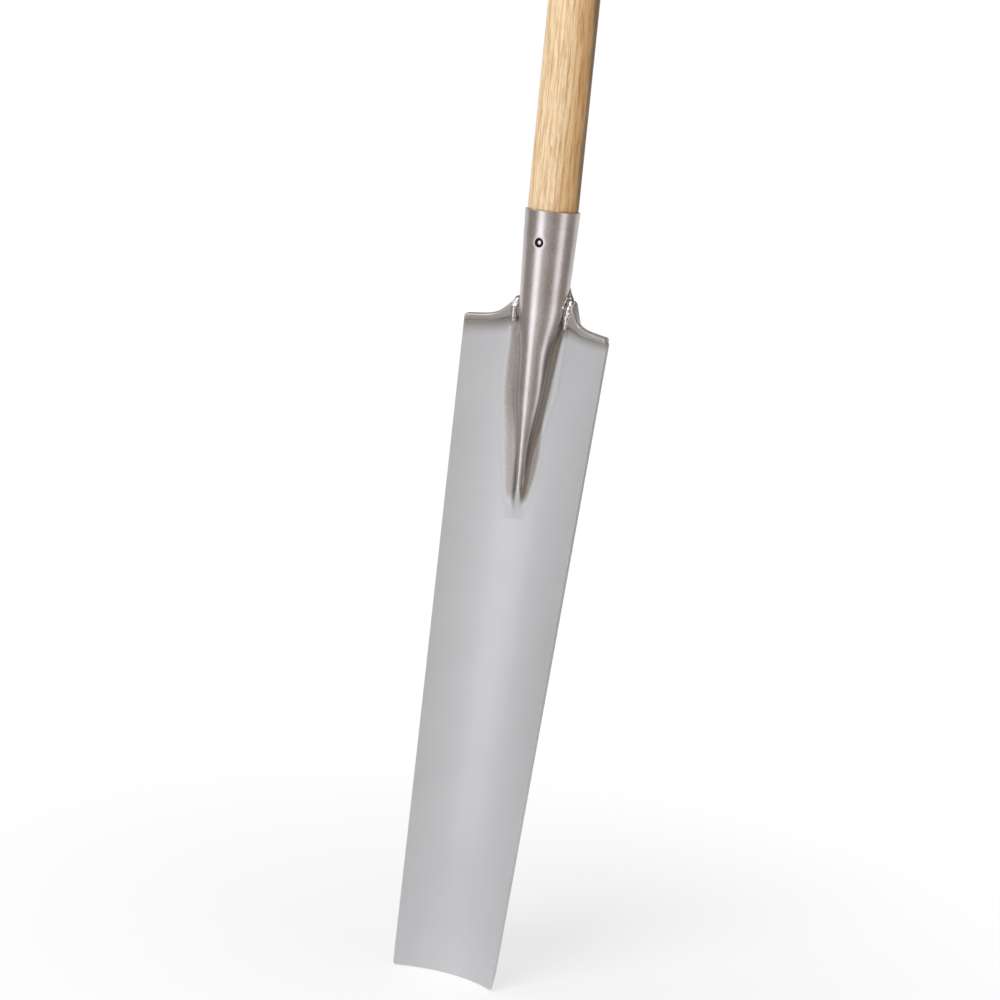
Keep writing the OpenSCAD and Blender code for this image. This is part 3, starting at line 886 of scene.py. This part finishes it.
def treadRing(front, rear, low, frontTop, backTop, shrink, toeDepth):
    shape = treadShape
    frontUp, frontDown = Vector((front, frontTop)), Vector((front, low))
    backDown, backUp = Vector((rear, low)), Vector((rear, backTop))
    neck = Vector((-0.4, low))
    toe = Vector((0.05, low - toeDepth))    # the lip's underside runs out down the blade's face
    ring = cornerArc(backUp, frontUp, frontDown, shape["frontRound"] * shrink)
    ring += cornerArc(frontUp, frontDown, neck, shape["lipRound"] * shrink)
    ring += bend(Vector((mix(front, 0, 0.35), low)), neck, toe, 8)
    ring += [Vector((1.1, low - toeDepth)), Vector((1.1, low))]    # inside the plate
    ring += cornerArc(neck, backDown, backUp, shape["backRound"] * shrink)
    ring += cornerArc(backDown, backUp, frontUp, shape["backRound"] * shrink)
    return ring


def buildTread(side, name, nodeName, hand):
    shape = treadShape
    outer, inner, endRound, innerRound = hand["outer"], shape["inner"], shape["endRound"], shape["innerRound"]
    stations = [inner + innerRound * f for f in (0.0, 0.06, 0.2, 0.45, 0.75)]
    stations += [mix(inner + innerRound, 39.0, i / 64) for i in range(65)]    # close together along the bend
    stations += [mix(40.0, outer - 4, i / 10) for i in range(11)]
    stations += [outer - endRound * f for f in (1.0, 0.75, 0.5, 0.3, 0.15, 0.05, 0.0)]
    rings = []
    for x in stations:
        low = treadLine(x) + hand["lift"] + tuck(x)
        flat = low - tuck(x) + hand["thickness"]
        tops = [-softMin(-flat, -smoothProfile(hand[k], x), shape["topBlend"]) for k in ("front", "rear")]
        cut = cornerCut(endRound, outer - x) + cornerCut(innerRound, x - inner)    # both ends are rounded
        toeDepth = mix(shape["filletEnd"], shape["filletDepth"], ease((outer - x) / shape["filletRun"]))
        ring = treadRing(-shape["lip"] + 0.7 * cut, shape["back"] - 0.9 * cut, low, tops[0] - 0.6 * cut,
                         tops[1] - 0.6 * cut, 1 - 0.15 * cut, toeDepth)
        spots = [onBlade(x, r.x - dish(-r.y, x), r.y) for r in ring]
        rings.append([place(side * q.x, q.y, q.z) for q in spots])
    piece = newPiece(name, *loft(rings), satinSteel, 50)
    attach(piece, "satin_steel", nodeName)


buildTread(-1, "tread_left", "left_tread", treadShape["left"])
buildTread(1, "tread_right", "right_tread", treadShape["right"])
print("treads built")

# weld beads: a lumpy run between each tread's upturned end and the socket, and over its top

beadShape = dict(
    ripple=3.4, rippleDepth=0.015, lump=0.24, lumpMm=5.0, pit=0.06, pitMm=2.0, flatness=0.85,
    left=((21.4, -3.6, 2.0, 1.8), (21.7, -3.3, 6.0, 2.5), (21.9, -3.0, 9.5, 2.8), (21.9, -2.2, 14.5, 3.1),
          (21.2, -0.2, 18.4, 2.9), (20.2, 3.4, 19.8, 2.3), (19.0, 7.2, 19.2, 1.6)),
    right=((20.0, -2.2, 1.0, 1.8), (20.3, -1.8, 5.0, 2.5), (20.6, -1.3, 9.0, 3.0), (21.0, -0.6, 13.5, 3.5),
           (21.0, 1.4, 18.5, 3.3), (19.4, 4.4, 23.5, 2.7), (17.2, 6.6, 28.0, 1.9), (16.4, 7.2, 33.0, 1.2)),
)


def alongPath(path, t):
    k = min(int(t), len(path) - 2)
    p0, p1 = path[max(0, k - 1)], path[k]
    p2, p3 = path[k + 1], path[min(len(path) - 1, k + 2)]
    f = t - k
    square, cube = 2 * p0 - 5 * p1 + 4 * p2 - p3, 3 * p1 - p0 - 3 * p2 + p3
    return 0.5 * (2 * p1 + (p2 - p0) * f + square * f ** 2 + cube * f ** 3)


def buildTreadWeld(side, name, nodeName, path):
    shape = beadShape
    path = [Vector(p) for p in path]    # x, y, z and radius
    rows, around = 120, 32
    spots = [alongPath(path, i / rows * (len(path) - 1)) for i in range(rows + 1)]
    rings, run = [], 0.0
    for i, spot in enumerate(spots):
        radius, spot = spot[3], spot.to_3d()
        along = (spots[min(rows, i + 1)] - spots[max(0, i - 1)]).to_3d().normalized()
        run += (spots[i] - spots[i - 1]).to_3d().length if i else 0.0
        across = (Vector((1, 0, 0)) - along * along.x).normalized()
        other = along.cross(across)
        swell = max(0.1, 1 - (2 * i / rows - 1) ** 10) ** 0.5    # both ends close to a blunt point
        ripple = 1 + shape["rippleDepth"] * math.sin(2 * math.pi * run / shape["ripple"])
        ring = []
        for a in turnsOf(around):
            out = math.cos(a) * across + shape["flatness"] * math.sin(a) * other
            spotOut = (spot + radius * out) * Vector((side, 1, 1))
            rough = shape["lump"] * noise.noise(spotOut / shape["lumpMm"])
            rough += shape["pit"] * noise.noise(spotOut / shape["pitMm"])
            p = spot + radius * swell * (ripple + rough) * out
            ring.append(place(side * p.x, p.y, p.z))
        rings.append(ring)
    piece = newPiece(name, *loft(rings), weldMetal, 80)
    attach(piece, "weld_steel", nodeName)


buildTreadWeld(-1, "tread_bead_left", "left_tread_weld", beadShape["left"])
buildTreadWeld(1, "tread_bead_right", "right_tread_weld", beadShape["right"])
print("tread welds built")

# shaft: round ash, tapered in the socket, with a neck and tenon at the grip


def buildShaft():
    shape = shaftShape
    rim, taper = socketShape["rim"], socketShape["taper"]
    inside, gap, neck = shape["inside"], shape["rimGap"], shape["neckLength"]
    radius, tenon = spade["shaftDiameter"] / 2, shape["tenonDiameter"] / 2
    seat = rim + shape["length"]
    crown = seat + gripShape["seat"] + gripShape["flat"]
    profile = [(rim - inside, radius - taper * inside - 2), (rim - inside + 2, radius - taper * (inside - 2))]
    profile += [(rim - 20, radius - taper * 20 - gap * 0.5)]
    profile += [(rim + 0.3, radius - gap), (rim + 0.9, radius - gap * 0.3)]
    profile += [(rim + mix(1.6, shape["length"] - neck - 4, i / 60), radius) for i in range(61)]
    for i in range(17):
        profile.append((seat - neck * (1 - i / 16), mix(radius, shape["neckDiameter"] / 2, ease(i / 16))))
    profile += [(seat, tenon), (crown - 0.1, tenon), (crown + 0.1, tenon - 0.2)]
    rings = [[place(r * math.sin(a), -r * math.cos(a), z) for a in turnsOf(128)] for z, r in profile]
    piece = newPiece("ash_shaft", *loft(rings), ashAlong)
    attach(piece, "ash", "handle_shaft")


buildShaft()
print("shaft built")

# nail: worn bright crown in a recess painted dark as shade

nailShape = dict(
    headDiameter=6.5, crownDiameter=3.1, crownHeight=0.6, crownBelow=0.3, shankDiameter=3.6, length=24.0,
)
nailLook = dict(
    # the recess colour is painted shade, near black, round the crown
    crown="e4e2df", recess="14110f", crownEdgeMm=1.35, recessEdgeMm=1.6, wearMm=0.8, wearSwayMm=0.6,
    crownRoughness=0.3, recessRoughness=0.85,
)


def makeNail():
    # a light dot in a black ring of painted shade
    look = nailLook
    made, tree, shader = newMaterial("steel nail, crown worn bright, edge painted dark as shade")
    where = addNode(tree, "TexCoord").outputs["Object"]
    fromNail = addNode(tree, "VectorMath", {0: where}, {1: place(0, 0, nailZ)}, operation="SUBTRACT")
    flat = addNode(tree, "VectorMath", {0: fromNail.outputs[0]}, {1: (1.0, 0.0, 1.0)}, operation="MULTIPLY")
    reach = addNode(tree, "VectorMath", {0: flat.outputs[0]}, operation="LENGTH")
    wear = addNode(tree, "TexNoise", {"Vector": where}, {"Scale": 1 / (look["wearMm"] * mm)})
    sway = look["wearSwayMm"] * mm
    uneven = addNode(tree, "Math", {0: wear.outputs["Fac"]}, {1: sway, 2: -sway / 2},
                     operation="MULTIPLY_ADD")
    edge = addNode(tree, "Math", {0: reach.outputs["Value"], 1: uneven.outputs[0]}, operation="ADD")
    share = addNode(tree, "MapRange", {"Value": edge.outputs[0]},
                    {"From Min": look["crownEdgeMm"] * mm, "From Max": look["recessEdgeMm"] * mm})
    tone = setStops(addNode(tree, "ValToRGB", {"Fac": share.outputs["Result"]}),
                    [(0.0, look["crown"]), (1.0, look["recess"])])
    rough = addNode(tree, "MapRange", {"Value": share.outputs["Result"]},
                    {"To Min": look["crownRoughness"], "To Max": look["recessRoughness"]})
    metal = addNode(tree, "MapRange", {"Value": share.outputs["Result"]}, {"To Min": 1.0, "To Max": 0.0})
    plug(tree, shader, {"Base Color": tone.outputs["Color"], "Roughness": rough.outputs["Result"],
                        "Metallic": metal.outputs["Result"]}, {})
    return made


def buildNail():
    shape = nailShape
    face = -(socketRadius(nailZ) - socketShape["dimpleDepth"]) + shape["crownBelow"]
    seat, end = face + shape["crownHeight"], face + shape["length"]
    crown, head, shank = (shape[k] / 2 for k in ("crownDiameter", "headDiameter", "shankDiameter"))
    profile = []
    for k in range(9):
        a = math.radians(90 * k / 8)
        y = face + shape["crownHeight"] * (1 - math.cos(a)) * 0.9
        profile.append((crown * max(0.004, math.sin(a)), y))
    profile += [(crown + 0.02, seat), (head - 0.15, seat + 0.02), (head, seat + 0.1), (head, seat + 0.5)]
    profile += [(shank, seat + 0.6), (shank, end - 4), (0.02, end)]
    rings = [[place(r * math.cos(a), y, nailZ + r * math.sin(a)) for a in turnsOf(40)] for r, y in profile]
    piece = newPiece("nail", *loft(rings), makeNail(), 60)
    attach(piece, "nail_steel", "socket_nail")


buildNail()
print("nail built")

# grip: turned ash crossbar on the shaft's tenon, with wedge and dowel


def buildGrip():
    shape = gripShape
    half, arm, hub = shape["length"] / 2, shape["diameter"] / 2, shape["hubDiameter"] / 2
    end, hubHalf = shape["endRadius"], shape["hubWidth"] / 2
    slopeEnd = hubHalf + shape["hubSlope"]
    side = []
    for k in range(9):
        a = math.radians(90 * k / 8)
        side.append((half - end + end * math.cos(a), arm - end + end * math.sin(a)))
    side += [(mix(half - end, slopeEnd, k / 10), arm) for k in range(1, 10)]
    for k in range(25):
        t = k / 24
        side.append((mix(slopeEnd, hubHalf, t), mix(arm, hub, mix(t, ease(t), 0.8))))
    side += [(mix(hubHalf, 0, k / 8), hub) for k in range(1, 9)]
    profile = [(-x, r) for x, r in side] + [(x, r) for x, r in reversed(side[:-1])]
    rings = [[place(x, r * math.sin(a), gripZ + r * math.cos(a)) for a in turnsOf(128)] for x, r in profile]
    piece = newPiece("grip_crossbar", *loft(rings), ashAcross)
    body = bmesh.new()
    body.from_mesh(piece.data)
    for level, up in ((shape["flat"], 1), (-shape["seat"], -1)):
        cut = bmesh.ops.bisect_plane(body, geom=body.verts[:] + body.edges[:] + body.faces[:],
                                     plane_co=place(0, 0, gripZ + level), plane_no=(0, 0, up),
                                     clear_outer=True)
        rim = [g for g in cut["geom_cut"] if isinstance(g, bmesh.types.BMEdge)]
        bmesh.ops.edgeloop_fill(body, edges=rim)
    bmesh.ops.recalc_face_normals(body, faces=body.faces)
    sharp = 18    # degrees, so that the flats keep their edges
    finishMesh(body, piece.data, sharp)
    bore = shape["bore"] / 2 * mm
    across, other = Vector((1, 1, 0)).normalized(), Vector((-1, 1, 0)).normalized()
    rings = []
    for up in (-40, 40):
        middle = place(0, 0, gripZ + up)
        rings.append([middle + bore * (math.cos(a) * across + math.sin(a) * other) for a in turnsOf(96)])
    cutAway(piece, newPiece("tenonBore", *loft(rings), None), sharp)
    attach(piece, "ash", "t_grip")


def buildWedge():
    shape = gripShape
    radius, top, half = shaftShape["tenonDiameter"] / 2, shape["flat"], shape["wedgeThickness"] / 2
    steps = 10
    rings = []
    for up, thick in ((top - shape["wedgeLength"], half / 3), (top + shape["proud"] * 0.6, half),
                      (top + shape["proud"], half - 0.15)):
        reach = math.sqrt(radius ** 2 - thick ** 2) - 0.1
        ring = [(-thick, mix(-reach, reach, k / steps)) for k in range(steps + 1)]
        ring += [(thick, mix(reach, -reach, k / steps)) for k in range(steps + 1)]
        rings.append([place(x, y, gripZ + up) for x, y in ring])
    piece = newPiece("grip_wedge_strip", *loft(rings), darkWood)
    attach(piece, "dark_wood", "grip_wedge")


def buildDowel():
    shape = gripShape
    hub, radius = shape["hubDiameter"] / 2, shape["dowelDiameter"] / 2
    shares = (0.01, 0.5, 0.85, 1.0)
    rings = []
    for side, share in [(-1, f) for f in shares] + [(1, f) for f in reversed(shares)]:
        ring = []
        for a in turnsOf(40):
            x, z = radius * share * math.cos(a), -shape["dowelDrop"] + radius * share * math.sin(a)
            y = side * (math.sqrt(hub ** 2 - z ** 2) + shape["proud"] * (1 - 0.8 * share ** 6))
            ring.append(place(x, y, gripZ + z))
        rings.append(ring)
    piece = newPiece("grip_dowel_pin", *loft(rings), darkWood)
    attach(piece, "dark_wood", "grip_dowel")


buildGrip()
buildWedge()
buildDowel()
print("grip, wedge and dowel built")

# stage, lamps and camera

stageLook = dict(
    floor="f7f7f7", floorSize=8.0, floorRoughness=0.9, floorGlow=1.02, nearGlow=0.7, nearFrom=0.1, nearTo=0.6,
    cardTint="fff4ea", cardRadius=2.7, cardHeight=3.2, apronFrom=0.65, apronUp=0.01, hoodLevel=0.17,
    worldLevel=0.3, rearLight=0.75,
)
# grey cards that the metal shows between the lamps: some stand round the set, and aprons lie on its floor
cardLook = dict(
    frontCard=dict(start=-66.0, end=58.0, low=0.0, level=0.43),
    leftFlag=dict(start=-120.0, end=-66.0, low=0.0, level=0.33),
    rightFlag=dict(start=58.0, end=116.0, low=0.0, level=0.385),
    rearFlag=dict(start=116.0, end=240.0, low=1.5, level=0.17),
    frontApron=dict(start=-31.0, end=38.0, level=0.38),
    leftApron=dict(start=-125.0, end=-64.0, level=0.4),
    rightApron=dict(start=64.0, end=125.0, level=0.28),
)
viewOf = dict(
    azimuth=24.7633, elevation=10.8072, roll=5.6922, acrossMm=30.7472, upMm=128.9571, distanceMm=1941.3137,
    focalPixels=2595.38, imagePixels=1000.0,
)


def outward(turn, rise):
    a, e = math.radians(turn), math.radians(rise)
    return Vector((math.sin(a) * math.cos(e), -math.cos(a) * math.cos(e), math.sin(e)))


def buildCamera():
    a, r = math.radians(viewOf["azimuth"]), math.radians(viewOf["roll"])
    back = outward(viewOf["azimuth"], viewOf["elevation"])
    right = Vector((math.cos(a), math.sin(a), 0))
    up = back.cross(right)
    across = math.cos(r) * right + math.sin(r) * up
    upward = -math.sin(r) * right + math.cos(r) * up
    away = viewOf["distanceMm"] * back - viewOf["acrossMm"] * across - viewOf["upMm"] * upward
    data = bpy.data.cameras.new("camera")
    data.sensor_fit = "HORIZONTAL"
    data.sensor_width = 36.0
    data.lens = data.sensor_width * viewOf["focalPixels"] / viewOf["imagePixels"]
    data.clip_end = 50.0
    camera = bpy.data.objects.new("camera", data)
    bpy.context.scene.collection.objects.link(camera)
    turned = Matrix((across, upward, back)).transposed().to_4x4()
    camera.matrix_world = Matrix.Translation(place(0, 0, 0) + mm * away) @ turned
    bpy.context.scene.camera = camera


def buildStage():
    size = stageLook["floorSize"] / 2
    made, tree, shader = newMaterial("matt white floor")
    plug(tree, shader, {},
         {"Base Color": linear(stageLook["floor"]), "Roughness": stageLook["floorRoughness"]})
    glow = addNode(tree, "Emission", values={"Strength": stageLook["floorGlow"]})
    where = addNode(tree, "TexCoord").outputs["Object"]
    reach = addNode(tree, "VectorMath", {0: where}, operation="LENGTH")
    # less glow near the cutting edge keeps its shadow
    away = addNode(tree, "MapRange", {"Value": reach.outputs["Value"]},
                   {"From Min": stageLook["nearFrom"], "From Max": stageLook["nearTo"],
                    "To Min": stageLook["nearGlow"], "To Max": 1.0})
    rays = addNode(tree, "LightPath")
    share = addNode(tree, "Math", {0: rays.outputs["Is Camera Ray"], 1: rays.outputs["Is Glossy Ray"]},
                    operation="MAXIMUM")
    part = addNode(tree, "Math", {0: share.outputs[0], 1: away.outputs["Result"]}, operation="MULTIPLY")
    both = addNode(tree, "MixShader", {0: part.outputs[0], 1: shader.outputs[0], 2: glow.outputs[0]})
    plug(tree, tree.nodes["Material Output"], {"Surface": both.outputs[0]}, {})
    corners = [(-size, -size, 0), (size, -size, 0), (size, size, 0), (-size, size, 0)]
    floor = newObject("floor", corners, [(0, 1, 2, 3)], made)


def addCard(name, points, faces, level):
    made, tree = newMaterial(name)[:2]
    glow = addNode(tree, "Emission", values={"Color": linear(stageLook["cardTint"]), "Strength": level})
    plug(tree, tree.nodes["Material Output"], {"Surface": glow.outputs[0]}, {})
    card = newObject(name, points, faces, made)
    card.visible_camera = False


def buildCards():
    radius, high, flat = stageLook["cardRadius"], stageLook["cardHeight"], stageLook["apronUp"]
    steps = 24
    for name, card in cardLook.items():
        edges = [(stageLook["apronFrom"], flat), (radius - 0.02, flat)]
        if "low" in card:
            edges = [(radius, card["low"]), (radius, high)]
        points, faces = [], []
        for i in range(steps + 1):
            a = math.radians(viewOf["azimuth"] + mix(card["start"], card["end"], i / steps))
            points += [(r * math.sin(a), -r * math.cos(a), z) for r, z in edges]
            if i:
                faces.append((2 * i - 2, 2 * i, 2 * i + 1, 2 * i - 1))
        addCard(name, points, faces, card["level"])
    hood = [(radius * math.cos(a), radius * math.sin(a), high) for a in turnsOf(48)]    # dark, above the set
    addCard("hood", hood, [tuple(range(len(hood)))], stageLook["hoodLevel"])


lampTint = "f7f9ff"
lampLook = dict(
    stripLeft=dict(turn=-46.0, rise=0.0, width=0.9, height=1.7, middle=0.85, distance=1.9, watts=7.5),
    stripRight=dict(turn=51.0, rise=0.0, width=0.8, height=1.7, middle=0.85, distance=1.9, watts=5.0),
    keyHigh=dict(turn=-35.0, rise=52.0, width=1.0, height=1.0, middle=0.7, distance=2.3, watts=37.0),
    keySide=dict(turn=-90.0, rise=40.0, width=0.8, height=0.8, middle=0.2, distance=2.0, watts=4.5),
    fillLow=dict(turn=-25.0, rise=0.0, width=1.4, height=0.3, middle=0.17, distance=1.6, watts=0.7),
)


def buildLamps():
    for name, lamp in lampLook.items():
        data = bpy.data.lights.new(name, "AREA")
        data.shape = "RECTANGLE"
        data.size, data.size_y = lamp["width"], lamp["height"]
        data.energy = lamp["watts"]
        data.color = linear(lampTint)[:3]
        made = bpy.data.objects.new(name, data)
        bpy.context.scene.collection.objects.link(made)
        out = outward(viewOf["azimuth"] + lamp["turn"], lamp["rise"])
        made.location = out * lamp["distance"] + Vector((0, axisY, lamp["middle"]))
        made.rotation_euler = out.to_track_quat("Z", "Y").to_euler()


def buildWorld():
    world = bpy.data.worlds.new("studio")
    bpy.context.scene.world = world
    world.use_nodes = True
    tree = world.node_tree
    tree.nodes.clear()
    rays = addNode(tree, "LightPath")
    mirrored = addNode(tree, "Math", {0: rays.outputs["Is Glossy Ray"]}, {1: stageLook["rearLight"]},
                       operation="MULTIPLY")
    seen = addNode(tree, "Math", {0: rays.outputs["Is Camera Ray"], 1: mirrored.outputs[0]},
                   operation="MAXIMUM")
    shown = addNode(tree, "Math", {0: seen.outputs[0], 1: rays.outputs["Is Transmission Ray"]},
                    operation="MAXIMUM")
    level = addNode(tree, "MapRange", {"Value": shown.outputs[0]},
                    {"To Min": stageLook["worldLevel"], "To Max": 1.0})
    back = addNode(tree, "Background", {"Strength": level.outputs["Result"]}, {"Color": (1, 1, 1, 1)})
    addNode(tree, "OutputWorld", {"Surface": back.outputs[0]})


buildCamera()
buildStage()
buildCards()
buildLamps()
buildWorld()
bpy.context.scene.view_settings.view_transform = "Standard"
print("stage, lamps and camera set")
